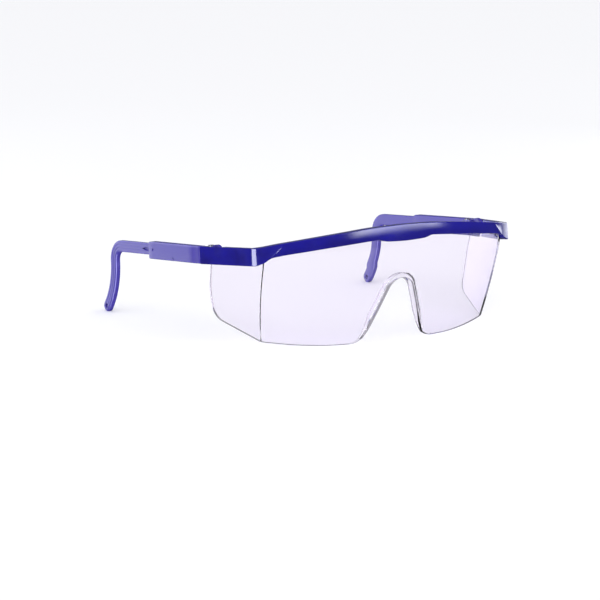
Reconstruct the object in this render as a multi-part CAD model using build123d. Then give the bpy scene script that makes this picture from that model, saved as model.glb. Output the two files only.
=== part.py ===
from build123d import *
import os
from math import atan2, cos, radians, sin, sqrt, tan

# ----------------------------------------------------------------------------
# Driving dimensions, in millimetres and degrees.
# The glasses are drawn as worn: X to the wearer's left, Y backwards from the
# front corners, Z = 0 at the top of the two level end sections. lay_down()
# then stands them on a table, on the lens and the two ear hooks.
# Paired pieces are drawn on the wearer's left, where X is positive.
# ----------------------------------------------------------------------------
REST_TILT = 5.97             # how far the ear hooks hang down on a table

# Brow frame: a curved bar that turns a corner into each end section
CORNER_X = 67.5              # outer front corner
BUTT_X, BUTT_Y = 74.0, 31.7  # outer rear end, where the temple butts
FRAME_HEIGHT = 7.5           # end section
END_WALL = 3.4               # end section
CORNER_ROUND = 3.0
BAR_RADIUS = 145.9
BAR_FRONT_Y = -16.5
BAR_DEPTH = 5.6
BAR_TOP = [(0, 5.5), (27, 4.2), (47, 2.3), (CORNER_X, 0)]
BAR_TOP_END_RUN = (1, -0.11) # the top edge's direction at the corner
BAR_BOTTOM = [(14.2, -0.1), (30, -1.3), (46, -2.7), (60.3, -4.4)]
BRIDGE_DROP = [(0, -1.5), (9.0, -1.2)]        # the low middle over the nose
FLARE = [(60.3, -4.4), (63.6, -6.4), (67.4, -FRAME_HEIGHT)]
CREASE_TOP_X, CREASE_BOTTOM_X = 54.8, 60.5    # slanted crease before the corner
CREASE_TOP_Z, CREASE_BOTTOM_Z = 1.0, -5.0
CREASE_CUT = 0.35                             # facet depth behind the crease

# Lens: one clear moulding with side shields and a nose bridge
LENS_WALL = 2.0
LENS_TOP_Z = -7.3            # the wall is upright above this and leans below
LENS_MID_Z = -27.0
LENS_LOW_Z = -47.0
LENS_TOP = dict(radius=133.0, front_y=-15.3, corner_x=62.7)
LENS_MID = dict(radius=121.0, front_y=-9.6, corner_x=61.1)
LENS_LOW = dict(radius=112.0, front_y=-2.6, corner_x=57.2)
LENS_BEND = 3.0              # outer radius at the shield corners
SHIELD_SPLAY = 13.5          # shields spread towards the rear
SHIELD_REAR_Y = 60.0
LENS_LIP = 2.5               # lens edge held inside the bar
GROOVE_GAP = 0.15
BOTTOM_EDGE = [(58.2, -41.2), (44, -43.5), (31, -44.7), (21.5, -44.9)]
LOBE_ROUND = (16.4, -43.1)   # on the round corner between lobe and nose
NOSE_LEG = [(13.4, -38.6), (6.4, -22.0)]
NOSE_LEG_RUN = (-0.37, 1)    # the leg's direction at its foot
NOSE_APEX_Z = -17.4
SHIELD_EDGE = [(10.8, -41.2), (33.9, -31.0), (33.3, -21.0), (30.1, -7.3)]
SHIELD_CORNER_ROUND = 6.0
SHIELD_STEP_Y, SHIELD_STEP_Z = 19.2, -7.3     # shield top drops clear of the ratchet
NOSE_RIM = 2.2
NOSE_DEPTH = 4.4

# Tilt ratchet and hinge, inside the end section
TILT_Y, TILT_Z = 25.4, -3.1
DISC_RADIUS = 3.8
DISC_INNER_X, DISC_OUTER_X = 68.1, 70.0
PAD_X = 70.3                 # flat seat cut in the end section
PAD_START_Y = 19.8
RATCHET_TEETH = 20
TOOTH_HEIGHT, TOOTH_WIDTH, TOOTH_LENGTH = 0.2, 0.4, 1.4
TOOTH_MID_RADIUS = 2.9
TILT_SCREW_RADIUS = 1.0
TILT_SCREW_HEAD = dict(radius=1.8, height=1.0)
DRIVER_SLOT = (0.5, 0.5)     # width, depth
TILT_SCREW_END_X = 72.0
BLOCK_INNER_X = 66.7
BLOCK_HEIGHT = 5.7
BLOCK_START_Y = 27.7
PIN_X, PIN_Y = 68.2, 31.4
PIN_RADIUS = 0.7
PIN_HEAD = dict(radius=1.2, height=0.5)
LEAF_RADIUS = 1.8
KNUCKLE_HEIGHT = 1.9
KNUCKLE_ROOM = (2.3, 2.0)    # cut out of the sleeve's front, from the pin
LEAF_GAP = 0.1
LEAF_CLEARANCE = 0.3
RUNNING_GAP = 0.06
PRESS_GAP = 0.01

# Temple: a sleeve and a slider that ends in the ear hook
TOE_IN = 0.6                 # temples lean inwards
SLEEVE_X = (69.6, 74.0)
SLEEVE_Y = (32.2, 73.6)
SLEEVE_Z = (-7.5, 0.0)
SLEEVE_ROUND = 0.7
SLEEVE_FACET = dict(length=5.6, depth=0.35)
CAVITY_START_Y = 37.0
WEB_PLAN = [(0, 0), (2.5, 0.9), (4.4, 4.2), (1.4, 4.2), (-1.0, 1.5)]   # arm from the pin, in plan
SLIDER_THICK = 2.3
SLIDER_HEIGHT = 5.1
SLIDER_MID_X = 71.85
SLIDER_MID_Z = -3.35
SLIDER_START_Y = 47.0
SLIDER_GAP = 0.1
HOOK_BEND_Y = 99.3           # where the hook's first bend starts
HOOK_BEND_RADIUS = 6.65
HOOK_SWEEP_RADIUS = 31.4     # gentle sweep back to the tip
HOOK_SWEEP = 41.0
CORD_HOLE_RADIUS = 1.0
DETENT_Y = 70.0
DETENT_RADIUS = 0.55
DETENT_HEIGHT = 0.5
TRACK_Y = (56.0, 79.0)
TRACK_HALF, TRACK_DEPTH = 0.8, 0.7
TRACK_POINT = 1.6
DIMPLE = dict(radius=0.55, depth=0.35)
GATE_MARK = dict(radius=0.35, depth=0.2, y=53.5, z=-6.4)


FAR = 90.0                   # further than any edge, for the ends of cutting shapes
TINY = 0.01


# ---------------------------------------------------------------- helpers ---
def plan_prism(face, low, high):
    """Extrude a face drawn on the ground plane between two heights."""
    return extrude(Pos(0, 0, low) * face, high - low)


def front_plate(points_and_curves):
    """A thick plate with a front-view outline, mirrored to both sides."""
    with BuildSketch(Plane.XZ) as half:
        with BuildLine():
            points_and_curves()
        make_face()
        mirror(about=Plane.YZ)
    return extrude(half.sketch, FAR, both=True)


def box_between(low, high):
    """A box from its lowest to its highest corner."""
    size = [b - a for a, b in zip(low, high)]
    middle = [(a + b) / 2 for a, b in zip(low, high)]
    return Pos(*middle) * Box(*size)


def rod_x(radius, x0, x1, y, z):
    """A round bar along X."""
    return Pos((x0 + x1) / 2, y, z) * Rot(0, 90, 0) * Cylinder(radius, abs(x1 - x0))


def rod_z(radius, z0, z1, x, y):
    """A round bar along Z."""
    return Pos(x, y, (z0 + z1) / 2) * Cylinder(radius, z1 - z0)


# ------------------------------------------------------------------- lens ---
def lens_region(z, radius, front_y, corner_x, grow):
    """The plan area behind the lens face at one height, grown by an offset."""
    corner_y = front_y + radius - sqrt(radius**2 - corner_x**2)
    rear_x = corner_x + (SHIELD_REAR_Y - corner_y) * tan(radians(SHIELD_SPLAY))
    with BuildSketch() as region:
        with BuildLine():
            ThreePointArc((-corner_x, corner_y), (0, front_y), (corner_x, corner_y))
            Line((corner_x, corner_y), (rear_x, SHIELD_REAR_Y))
            Line((rear_x, SHIELD_REAR_Y), (-rear_x, SHIELD_REAR_Y))
            Line((-rear_x, SHIELD_REAR_Y), (-corner_x, corner_y))
        make_face()
        fillet(region.vertices().sort_by(Axis.Y)[:2], LENS_BEND)
        if grow:
            offset(amount=grow, kind=Kind.INTERSECTION, mode=Mode.REPLACE)
    return Pos(0, 0, z) * region.sketch


def lens_core(grow):
    """Everything behind the lens face: upright at the top, leaning below."""
    top = lens_region(LENS_TOP_Z, **LENS_TOP, grow=grow)
    middle = lens_region(LENS_MID_Z, **LENS_MID, grow=grow)
    low = lens_region(LENS_LOW_Z, **LENS_LOW, grow=grow)
    return extrude(top, FRAME_HEIGHT + 4.5) + loft([low.face(), middle.face(), top.face()])


def lens_shell(outer, inner):
    """The bent wall between two offsets of the lens face."""
    return lens_core(outer) - lens_core(inner)


def below_bar(rise):
    """The space under the bar's lower edge, raised by an amount."""
    def outline():
        lifted = [(x, z + rise) for x, z in BAR_BOTTOM]
        flare = [(x, z + rise) for x, z in FLARE]
        drop = [(x, z + rise) for x, z in BRIDGE_DROP]
        Polyline(*drop, lifted[0])
        Spline(*lifted)
        Spline(*flare)
        Polyline(flare[-1], (FAR, flare[-1][1]), (FAR, -FAR), (0, -FAR), (0, drop[0][1]))
    return front_plate(outline)


def nose_outline(grow):
    """The nose arch, its legs spread downwards, grown by an offset."""
    (low_x, low_z), (high_x, high_z) = NOSE_LEG
    slope = (low_x - high_x) / (high_z - low_z)
    foot_z = LENS_LOW_Z - 3
    foot_x = low_x + slope * (low_z - foot_z)
    with BuildSketch(Plane.XZ) as arch:
        with BuildLine():
            ThreePointArc((-high_x, high_z), (0, NOSE_APEX_Z), (high_x, high_z))
            Polyline((high_x, high_z), (foot_x, foot_z), (-foot_x, foot_z), (-high_x, high_z))
        make_face()
        if grow:
            offset(amount=grow, kind=Kind.ARC, mode=Mode.REPLACE)
    return extrude(arch.sketch, FAR, both=True)


def lens_outline():
    """The lens's lower edge, with a round corner where each lobe meets the nose."""
    def outline():
        (leg_x, leg_z) = NOSE_LEG[0]
        Spline(*BOTTOM_EDGE)
        foot = (BOTTOM_EDGE[0][0], -FAR)
        Spline(BOTTOM_EDGE[-1], LOBE_ROUND, (leg_x, leg_z), tangents=[(-1, 0), NOSE_LEG_RUN])
        Polyline((leg_x, leg_z), (0, leg_z), (0, FAR), (FAR, FAR), (FAR, -FAR), foot, BOTTOM_EDGE[0])
    return front_plate(outline)


def shield_outline():
    """The side view of the shields: rear edge, round lower corner, slanted foot."""
    with BuildSketch(Plane.YZ) as side:
        with BuildLine():
            Polyline((-FAR, -FAR), (SHIELD_EDGE[0][0], -FAR), *SHIELD_EDGE, (SHIELD_STEP_Y, SHIELD_STEP_Z),
                     (SHIELD_STEP_Y, FAR), (-FAR, FAR), (-FAR, -FAR))
        make_face()
        fillet(side.vertices().sort_by(Axis.X)[-1:], SHIELD_CORNER_ROUND)
    return extrude(side.sketch, FAR, both=True)


def make_lens():
    """Front wall, both shields and the nose bridge in one solid."""
    wall = lens_shell(0, -LENS_WALL) - nose_outline(0)
    bridge = lens_shell(0, -NOSE_DEPTH) & (nose_outline(NOSE_RIM) - nose_outline(0))
    return (wall + bridge) & lens_outline() & shield_outline() & below_bar(LENS_LIP)


# ------------------------------------------------------------ brow frame ---
def bar_y(x):
    """The bar's front face at a distance from the middle."""
    return BAR_FRONT_Y + BAR_RADIUS - sqrt(BAR_RADIUS**2 - x**2)


def frame_plan():
    """Plan of the bar and both end sections."""
    corner_y = bar_y(CORNER_X)
    splay = atan2(BUTT_X - CORNER_X, BUTT_Y - corner_y)
    inner_butt_x = BUTT_X - END_WALL / cos(splay)
    inner_x = CORNER_X - END_WALL / cos(splay) + BAR_DEPTH * tan(splay)
    inner_y = bar_y(inner_x) + BAR_DEPTH
    inner_x += (inner_y - corner_y - BAR_DEPTH) * tan(splay)
    with BuildSketch() as plan:
        with BuildLine():
            ThreePointArc((-CORNER_X, corner_y), (0, BAR_FRONT_Y), (CORNER_X, corner_y))
            Polyline((CORNER_X, corner_y), (BUTT_X, BUTT_Y), (inner_butt_x, BUTT_Y), (inner_x, inner_y))
            ThreePointArc((inner_x, inner_y), (0, BAR_FRONT_Y + BAR_DEPTH), (-inner_x, inner_y))
            Polyline((-inner_x, inner_y), (-inner_butt_x, BUTT_Y), (-BUTT_X, BUTT_Y), (-CORNER_X, corner_y))
        make_face()
        at_corner = lambda v: abs(abs(v.X) - CORNER_X) + abs(v.Y - corner_y) < TINY
        fillet(plan.vertices().filter_by(at_corner), CORNER_ROUND)
    return plan.sketch


def frame_front():
    """Front view of the bar: arched top, low bridge and flared ends."""
    def outline():
        Spline(*BAR_TOP, tangents=[(1, 0), BAR_TOP_END_RUN])
        Polyline((CORNER_X, 0), (FAR, 0), (FAR, -FRAME_HEIGHT), FLARE[-1])
        Spline(*reversed(FLARE))
        Spline(*reversed(BAR_BOTTOM))
        Polyline(BAR_BOTTOM[0], BRIDGE_DROP[1], BRIDGE_DROP[0], (0, BAR_TOP[0][1]))
    return front_plate(outline)


def crease_facet():
    """What the slanted crease takes off the bar's front corner."""
    top = Vector(CREASE_TOP_X, bar_y(CREASE_TOP_X), CREASE_TOP_Z)
    low = Vector(CREASE_BOTTOM_X, bar_y(CREASE_BOTTOM_X), CREASE_BOTTOM_Z)
    corner = Vector(CORNER_X, bar_y(CORNER_X) + CREASE_CUT, -FRAME_HEIGHT / 2)
    normal = (low - top).cross(corner - top)
    if normal.Y > 0:
        normal = -normal
    return Plane(origin=top, z_dir=normal) * Pos(0, 0, 5) * Box(60, 60, 10)


def make_frame():
    """Bar and end sections, with the lens groove and the ratchet seats."""
    body = plan_prism(frame_plan(), -2 * FRAME_HEIGHT, 2 * FRAME_HEIGHT) & frame_front()
    body -= lens_shell(GROOVE_GAP, -LENS_WALL - GROOVE_GAP) & below_bar(LENS_LIP + GROOVE_GAP)
    facet = crease_facet()
    seat = box_between((0, PAD_START_Y, -FAR), (PAD_X, FAR, FAR))
    pilot = rod_x(TILT_SCREW_RADIUS + PRESS_GAP, 0, TILT_SCREW_END_X + LEAF_GAP, TILT_Y, TILT_Z)
    for cut in (facet, seat, pilot):
        body -= cut + mirror(cut, about=Plane.YZ)
    return body


# -------------------------------------------------- tilt ratchet and hinge ---
def make_hinge_block():
    """A ratchet disc that tilts on the frame, with two leaves for the hinge pin."""
    low, high = TILT_Z - BLOCK_HEIGHT / 2, TILT_Z + BLOCK_HEIGHT / 2
    block = rod_x(DISC_RADIUS, DISC_INNER_X, DISC_OUTER_X, TILT_Y, TILT_Z)
    for i in range(RATCHET_TEETH):
        tooth = Box(TOOTH_HEIGHT, TOOTH_WIDTH, TOOTH_LENGTH)
        spoke = Pos(0, 0, TOOTH_MID_RADIUS) * tooth
        turned = Rot(i * 360 / RATCHET_TEETH, 0, 0) * spoke
        block += Pos(DISC_OUTER_X + TOOTH_HEIGHT / 2, TILT_Y, TILT_Z) * turned
    block += box_between((DISC_INNER_X, TILT_Y, low), (DISC_OUTER_X, PIN_Y, high))
    block += box_between((BLOCK_INNER_X, BLOCK_START_Y, low), (DISC_OUTER_X, PIN_Y, high))
    block += rod_z(LEAF_RADIUS, low, high, PIN_X, PIN_Y)
    slot = KNUCKLE_HEIGHT / 2 + LEAF_GAP
    slot_start_y = PIN_Y - LEAF_RADIUS - LEAF_CLEARANCE
    block -= box_between((0, slot_start_y, TILT_Z - slot), (PAD_X, FAR, TILT_Z + slot))
    block -= rod_z(PIN_RADIUS + PRESS_GAP, low - 1, high + 1, PIN_X, PIN_Y)
    return block - rod_x(TILT_SCREW_RADIUS + RUNNING_GAP, 0, PAD_X, TILT_Y, TILT_Z)


def make_tilt_screw():
    """A pan-head screw through the ratchet disc into the end section."""
    head_x = DISC_INNER_X - LEAF_GAP
    screw = rod_x(TILT_SCREW_RADIUS, head_x, TILT_SCREW_END_X, TILT_Y, TILT_Z)
    screw += rod_x(TILT_SCREW_HEAD["radius"], head_x - TILT_SCREW_HEAD["height"], head_x, TILT_Y, TILT_Z)
    (width, depth) = DRIVER_SLOT
    slot_floor = head_x - TILT_SCREW_HEAD["height"] + depth
    return screw - box_between((0, TILT_Y - FAR, TILT_Z - width / 2), (slot_floor, FAR, TILT_Z + width / 2))


def make_hinge_pin():
    """The upright pin with a small head on the top leaf."""
    low, high = TILT_Z - BLOCK_HEIGHT / 2, TILT_Z + BLOCK_HEIGHT / 2
    pin = rod_z(PIN_RADIUS, low, high, PIN_X, PIN_Y)
    return pin + rod_z(PIN_HEAD["radius"], high, high + PIN_HEAD["height"], PIN_X, PIN_Y)


# ----------------------------------------------------------------- temple ---
def make_sleeve():
    """The front half of the temple: hinge knuckle, hollow and detent bump."""
    (x0, x1), (y0, y1), (z0, z1) = SLEEVE_X, SLEEVE_Y, SLEEVE_Z
    sleeve = box_between((x0, y0, z0), (x1, y1, z1))
    sleeve = fillet(sleeve.edges().filter_by(Axis.Y), SLEEVE_ROUND)
    facet_end = y0 + SLEEVE_FACET["length"]
    with BuildSketch() as wedge:
        with BuildLine():
            facet_front = (x1 - SLEEVE_FACET["depth"], y0)
            Polyline((x1, facet_end), (FAR, facet_end), (FAR, y0), facet_front, close=True)
        make_face()
    sleeve -= plan_prism(wedge.sketch, z0 - 1, z1 + 1)
    sleeve -= box_between((0, 0, z0), (PIN_X + KNUCKLE_ROOM[0], PIN_Y + KNUCKLE_ROOM[1], z1))
    half_hollow = (SLIDER_HEIGHT / 2 + SLIDER_GAP, SLIDER_THICK / 2 + SLIDER_GAP)
    sleeve -= box_between((SLIDER_MID_X - half_hollow[1], CAVITY_START_Y, SLIDER_MID_Z - half_hollow[0]),
                          (SLIDER_MID_X + half_hollow[1], y1 + 1, SLIDER_MID_Z + half_hollow[0]))
    low, high = TILT_Z - KNUCKLE_HEIGHT / 2, TILT_Z + KNUCKLE_HEIGHT / 2
    with BuildSketch() as web:
        with BuildLine():
            Polyline([(PIN_X + x, PIN_Y + y) for x, y in WEB_PLAN], close=True)
        make_face()
    sleeve += plan_prism(web.sketch, low, high) + rod_z(LEAF_RADIUS, low, high, PIN_X, PIN_Y)
    sleeve -= rod_z(PIN_RADIUS + RUNNING_GAP, low - 1, high + 1, PIN_X, PIN_Y)
    wall_x = SLIDER_MID_X + half_hollow[1]
    sleeve += rod_x(DETENT_RADIUS, wall_x - DETENT_HEIGHT, wall_x + LEAF_GAP, DETENT_Y, SLIDER_MID_Z)
    sleeve -= rod_x(DIMPLE["radius"], x1 - DIMPLE["depth"], x1 + 1, DETENT_Y, SLIDER_MID_Z)
    mark = rod_x(GATE_MARK["radius"], x1 - GATE_MARK["depth"], FAR, GATE_MARK["y"], GATE_MARK["z"])
    return sleeve - mark


def hook_tip():
    """Centre of the round tip, as (y, z)."""
    down_y, down_z = HOOK_BEND_Y + HOOK_BEND_RADIUS, SLIDER_MID_Z - HOOK_BEND_RADIUS
    sweep = radians(HOOK_SWEEP)
    return down_y + HOOK_SWEEP_RADIUS * (1 - cos(sweep)), down_z - HOOK_SWEEP_RADIUS * sin(sweep)


def hook_edge(side):
    """One edge of the strip: straight, round the bend and down to the tip."""
    half = side * SLIDER_HEIGHT / 2
    down_y, down_z = HOOK_BEND_Y + HOOK_BEND_RADIUS, SLIDER_MID_Z - HOOK_BEND_RADIUS
    Line((SLIDER_START_Y, SLIDER_MID_Z + half), (HOOK_BEND_Y, SLIDER_MID_Z + half))
    CenterArc((HOOK_BEND_Y, down_z), HOOK_BEND_RADIUS + half, 90, -90)
    CenterArc((down_y + HOOK_SWEEP_RADIUS, down_z), HOOK_SWEEP_RADIUS - half, 180, HOOK_SWEEP)


def make_slider():
    """The rear half of the temple: straight tongue, bend and swept ear hook."""
    half = SLIDER_THICK / 2
    tip_y, tip_z = hook_tip()
    across = Vector(cos(radians(HOOK_SWEEP)), sin(radians(HOOK_SWEEP))) * (SLIDER_HEIGHT / 2)
    with BuildSketch(Plane.YZ) as strip:
        with BuildLine():
            hook_edge(1)
            Line((tip_y + across.X, tip_z + across.Y), (tip_y - across.X, tip_z - across.Y))
            hook_edge(-1)
            low, high = SLIDER_MID_Z - SLIDER_HEIGHT / 2, SLIDER_MID_Z + SLIDER_HEIGHT / 2
            Line((SLIDER_START_Y, low), (SLIDER_START_Y, high))
        make_face()
        with Locations((tip_y, tip_z)):
            Circle(SLIDER_HEIGHT / 2)
    tongue = Pos(SLIDER_MID_X, 0, 0) * extrude(strip.sketch, half, both=True)
    face_x = SLIDER_MID_X + half
    (front, rear) = TRACK_Y
    with BuildSketch(Plane.YZ) as track:
        with BuildLine():
            Polyline((front, SLIDER_MID_Z - TRACK_HALF), (rear - TRACK_POINT, SLIDER_MID_Z - TRACK_HALF),
                     (rear + TRACK_POINT, SLIDER_MID_Z), (rear - TRACK_POINT, SLIDER_MID_Z + TRACK_HALF),
                     (front, SLIDER_MID_Z + TRACK_HALF), close=True)
        make_face()
    tongue -= Pos(face_x - TRACK_DEPTH, 0, 0) * extrude(track.sketch, 5)
    return tongue - rod_x(CORD_HOLE_RADIUS, face_x - 5, face_x + 2, tip_y, tip_z)


def toe_in(shape):
    """Lean a left temple piece inwards about the hinge pin."""
    return Pos(PIN_X, PIN_Y, 0) * Rot(0, 0, TOE_IN) * Pos(-PIN_X, -PIN_Y, 0) * shape


# --------------------------------------------------------------- assembly ---
def assemble():
    """Every piece as worn, by node name."""
    pieces = {"brow_frame": make_frame(), "lens": make_lens()}
    left = {
        "hinge_block": make_hinge_block(),
        "tilt_screw": make_tilt_screw(),
        "hinge_pin": make_hinge_pin(),
        "temple_sleeve": toe_in(make_sleeve()),
        "temple_slider": toe_in(make_slider()),
    }
    for name, shape in left.items():
        pieces[name + "_left"] = shape
        pieces[name + "_right"] = mirror(shape, about=Plane.YZ)
    return pieces


def resting_place(pieces):
    """The move that stands the glasses on a table with the origin under the middle."""
    tilt = Rot(-REST_TILT, 0, 0)
    box = Compound(children=[tilt * shape for shape in pieces.values()]).bounding_box()
    return Pos(0, -box.center().Y, -box.min.Z) * tilt


worn = assemble()
lay_down = resting_place(worn)
os.makedirs("parts", exist_ok=True)
for node, shape in worn.items():
    placed = lay_down * shape
    low = placed.bounding_box().min.Z
    print(f"{node:22s} volume {placed.volume:8.1f}  lowest {low:6.2f}")
    export_step(placed, f"parts/{node}.step")
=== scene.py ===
import math
from contextlib import contextmanager
from functools import cached_property

import bmesh
import bpy
from bpy.props import FloatProperty, FloatVectorProperty, PointerProperty
from mathutils import Matrix, Vector


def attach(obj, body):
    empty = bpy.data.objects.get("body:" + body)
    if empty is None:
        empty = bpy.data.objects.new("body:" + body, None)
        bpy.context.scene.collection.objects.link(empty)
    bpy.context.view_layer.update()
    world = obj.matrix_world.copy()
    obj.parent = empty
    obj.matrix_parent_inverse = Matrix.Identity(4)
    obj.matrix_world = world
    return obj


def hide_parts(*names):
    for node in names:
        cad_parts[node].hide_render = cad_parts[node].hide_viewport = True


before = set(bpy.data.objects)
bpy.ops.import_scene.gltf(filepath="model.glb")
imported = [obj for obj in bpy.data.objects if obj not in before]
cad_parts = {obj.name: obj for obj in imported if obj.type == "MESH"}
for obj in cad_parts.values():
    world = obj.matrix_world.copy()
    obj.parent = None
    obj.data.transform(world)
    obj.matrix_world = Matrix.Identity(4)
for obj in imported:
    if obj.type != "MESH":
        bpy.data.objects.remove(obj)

bl_info = {
    "name": "Safety Glasses Workshop",
    "version": (1, 0, 0),
    "blender": (4, 5, 0),
    "location": "View3D > Sidebar > Safety Glasses",
    "description": "Wraparound safety glasses with a blue brow frame and sliding temples",
    "category": "Object",
}

# ------------------------------------------------------------------ sizes ---
# The glasses are drawn as worn, in millimetres: X to the wearer's left, Y back
# from the front corners, Z = 0 at the top of the level end sections. stand()
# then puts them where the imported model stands, in metres. Paired pieces are
# drawn on the wearer's left, where X is positive.
MM = 0.001
SIDES = {"left": 1, "right": -1}
REST_TILT = math.radians(-5.97)
STAND = Vector((0, -47.941, 44.818))
PIN = Vector((68.2, 31.4, -3.1))
TOE_IN = math.radians(0.6)
WELD = 1e-3                   # points nearer than this become one

# Brow frame
CORNER_X = 67.5
BUTT = Vector((74.0, 31.7))
END_WALL = 3.4
CORNER_ROUND = 3.0
BAR_RADIUS = 145.9
BAR_FRONT_Y = -16.5
BAR_DEPTH = 5.6
# The bar's edges as rows of (distance from the middle, height)
BAR_TOP = [(0, 5.5), (14, 5.17), (27, 4.2), (37, 3.3), (47, 2.3), (57, 1.22), (67.5, 0), (70, 0)]
BRIDGE_LOW = [(0, -1.5), (9, -1.2), (14.2, -0.1)]
BAR_LOW = [(14.2, -0.1), (30, -1.3), (46, -2.7), (60.3, -4.4), (63.6, -6.4), (67.4, -7.5), (70, -7.5)]
CREASE_TOP_X, CREASE_LOW_X = 54.8, 60.5
CREASE_CUT = 0.35
CREASE_BEAD, BEAD_SIDE = 0.12, 0.5      # the fine raised line along the crease
CREASE_END, CREASE_FADE = 0.6, 1.2       # the facet rises again just behind the corner
BAR_CROWN = 0.45             # how far the top of the bar's face leans back
CROWN_END, CROWN_FADE = 4.0, 12.0        # where the crown dies out, past the crease's top
FACE_FADE = 2.0              # crown and crease die out over this depth
SEAT_X, SEAT_START_Y, SEAT_SLOPE = 70.3, 19.8, 0.02
BUTT_ROUND = [(0.1, 0.12), (0.0, 0.35)]  # the butt's edge, as distance before it and inset

# Lens: its plan curve at three heights, as z, radius, front y and corner x
LENS_LEVELS = [(-7.3, 133.0, -15.3, 62.7), (-27.0, 121.0, -9.6, 61.1), (-47.0, 112.0, -2.6, 57.2)]
LENS_FOLD = 3.5              # the upright strip bends into the slant over twice this height
LENS_WALL = 2.0
SHIELD_SPLAY = math.radians(13.5)
LENS_LIP = 2.5
LENS_LOWEST = -50.0           # below every edge of the lens
LENS_ROWS, GROOVE_ROWS, FOLD_ROWS = 32, 24, 15
FOLD_ROOM, LIP_ROOM = 0.5, 0.6
NOSE_SHARE = 0.26             # the share of the front that holds the nose arch
GROOVE_GAP = 0.15
LOBE_EDGE = [(13.4, -38.6), (16.4, -43.1), (21.5, -44.9), (31, -44.7), (44, -43.5), (58.2, -41.2)]
NOSE_LEG_LOW, NOSE_LEG_HIGH = Vector((13.4, -38.6)), Vector((6.4, -22.0))
NOSE_APEX_Z = -17.4
NOSE_DROP = NOSE_APEX_Z - NOSE_LEG_HIGH.y
NOSE_RADIUS = (NOSE_LEG_HIGH.x ** 2 + NOSE_DROP ** 2) / (2 * NOSE_DROP)
NOSE_RIM, NOSE_DEPTH, NOSE_ROUND = 2.2, 4.4, 0.35
NOSE_PROUD = (-0.08, -0.12)   # how far the rim stands out past the lens's edge and face
NOSE_LEG_FADE = (0.7, 0.25)   # from this share of the leg the rim loses this much of its size
NOSE_FOOT = [(14.0, 0.7), (14.9, 0.6), (16.4, 0.52), (18.6, 0.44), (21.0, 0.40)]
SHIELD_FOOT, SHIELD_CORNER = Vector((10.8, -41.2)), Vector((33.9, -31.0))
SHIELD_REAR = [(-60, 35.6), (-31.0, 33.9), (-21.0, 33.3), (-7.3, 30.1), (0, 28.4)]
SHIELD_STEP_Y, SHIELD_STEP_Z = 19.2, -7.3
SHIELD_ROUND = 6.0
SHIELD_FIRST = 1.2            # the first column stands this far behind the corner

# Temple
SLEEVE_LOW, SLEEVE_HIGH = Vector((69.6, 32.2, -7.5)), Vector((74.0, 73.6, 0.0))
SLEEVE_ROUND = 0.7
# The sleeve's front edge: distance back, insets inside, outside and in height, corner radius
SLEEVE_FRONT = [(0.0, 0.2, 0.25, 0.25, 0.6), (0.08, 0.05, 0.07, 0.08, 0.7), (0.28, 0.0, 0.0, 0.0, 0.7)]
FACET_LENGTH, FACET_DEPTH = 5.6, 0.35
FACET_BLEND, FACET_EASE = 0.1, 0.02
CAVITY_START, CAVITY_ROUND = 37.0, 0.3
MOUTH_LEAD, MOUTH_ROUND = 0.12, 0.4
KNUCKLE_ROOM, KNUCKLE_SLOPE = Vector((2.3, 2.0)), 0.02
SLIDER_X, SLIDER_Z = 71.85, -3.35
SLIDER_THICK, SLIDER_HEIGHT = 2.3, 5.1
SLIDER_START, SLIDER_LEAD = 47.0, 0.3
SLIDER_GAP = 0.1
RIBS, RIB_FOOT, RIB_CREST = (1.35, 0.0, -1.35), 0.22, 0.07
TIP_LEAST, TIP_THIN, TIP_THIN_FROM = 0.45, 0.35, 0.8
BEND_START, BEND_RADIUS = 99.3, 6.65
SWEEP_RADIUS, SWEEP = 31.4, math.radians(41.0)
TRACK = (56.0, 79.0, 0.8, 0.7, 1.6)      # start y, end y, half height, depth, point
CORD_HOLE_RADIUS = 1.0
DIMPLE_Y, DIMPLE_RADIUS, DIMPLE_DEPTH = 70.0, 0.6, 0.55
GATE_Y, GATE_Z, GATE_RADIUS, GATE_DEPTH = 53.5, -6.4, 0.42, 0.4
KNUCKLE_RADIUS, KNUCKLE_HEIGHT, PIN_HOLE_RADIUS = 1.8, 1.9, 0.76
LYING, UPRIGHT = (0, math.radians(90), 0), (0, 0, 0)

# Studio: cards that only show in the gloss, as name, turn from -X towards +Y
# and spread in degrees, lowest and highest metres, and brightness
REFLECTOR_REACH = 0.6
REFLECTORS = [
    ("side_card", 76.0, 56.0, -0.45, 0.5, 2.4), ("corner_card", -20.0, 74.0, -1.0, 0.6, 13.0),
    ("brow_card", -120.0, 44.0, 0.05, 0.7, 10.0), ("far_card", 163.0, 42.0, -0.06, 0.3, 5.0)]
CARD_COLOUR, CARD_EDGES = (0.93, 0.94, 1.0, 1), (0.12, 0.2)
# Lamps, as name, place and aim in metres, width, height and share of the key's power
LAMPS = [("key_lamp", (-0.5, -0.55, 0.75), (0, -0.04, 0.03), 0.5, 0.35, 1.0),
         ("top_lamp", (0.15, 0.0, 0.8), (0, 0, 0.03), 0.5, 0.5, 0.6)]
OVERHEAD_TURN, OVERHEAD_SPREAD = (math.radians(25), math.radians(-20), 0), math.radians(70)
FLOOR_SIZE = 12
ROOM_COLOUR = (0.97, 0.975, 1.0, 1)
# How much darker the room is in the gloss, less so through the lens, and how
# much brighter it is behind the floor
MIRROR_DIM, LENS_LIFT, BACKDROP_LIFT = 0.8, 0.3, 0.3
# The camera, round the glasses as they are worn
CAMERA_PLACE = Vector((-869.15, -1221.83, 131.26))
CAMERA_TURN, CAMERA_RISE, CAMERA_ROLL = math.radians(-34.0), math.radians(6.0), math.radians(2.52)
SENSOR_WIDTH, FARTHEST = 36.0, 30


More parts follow.
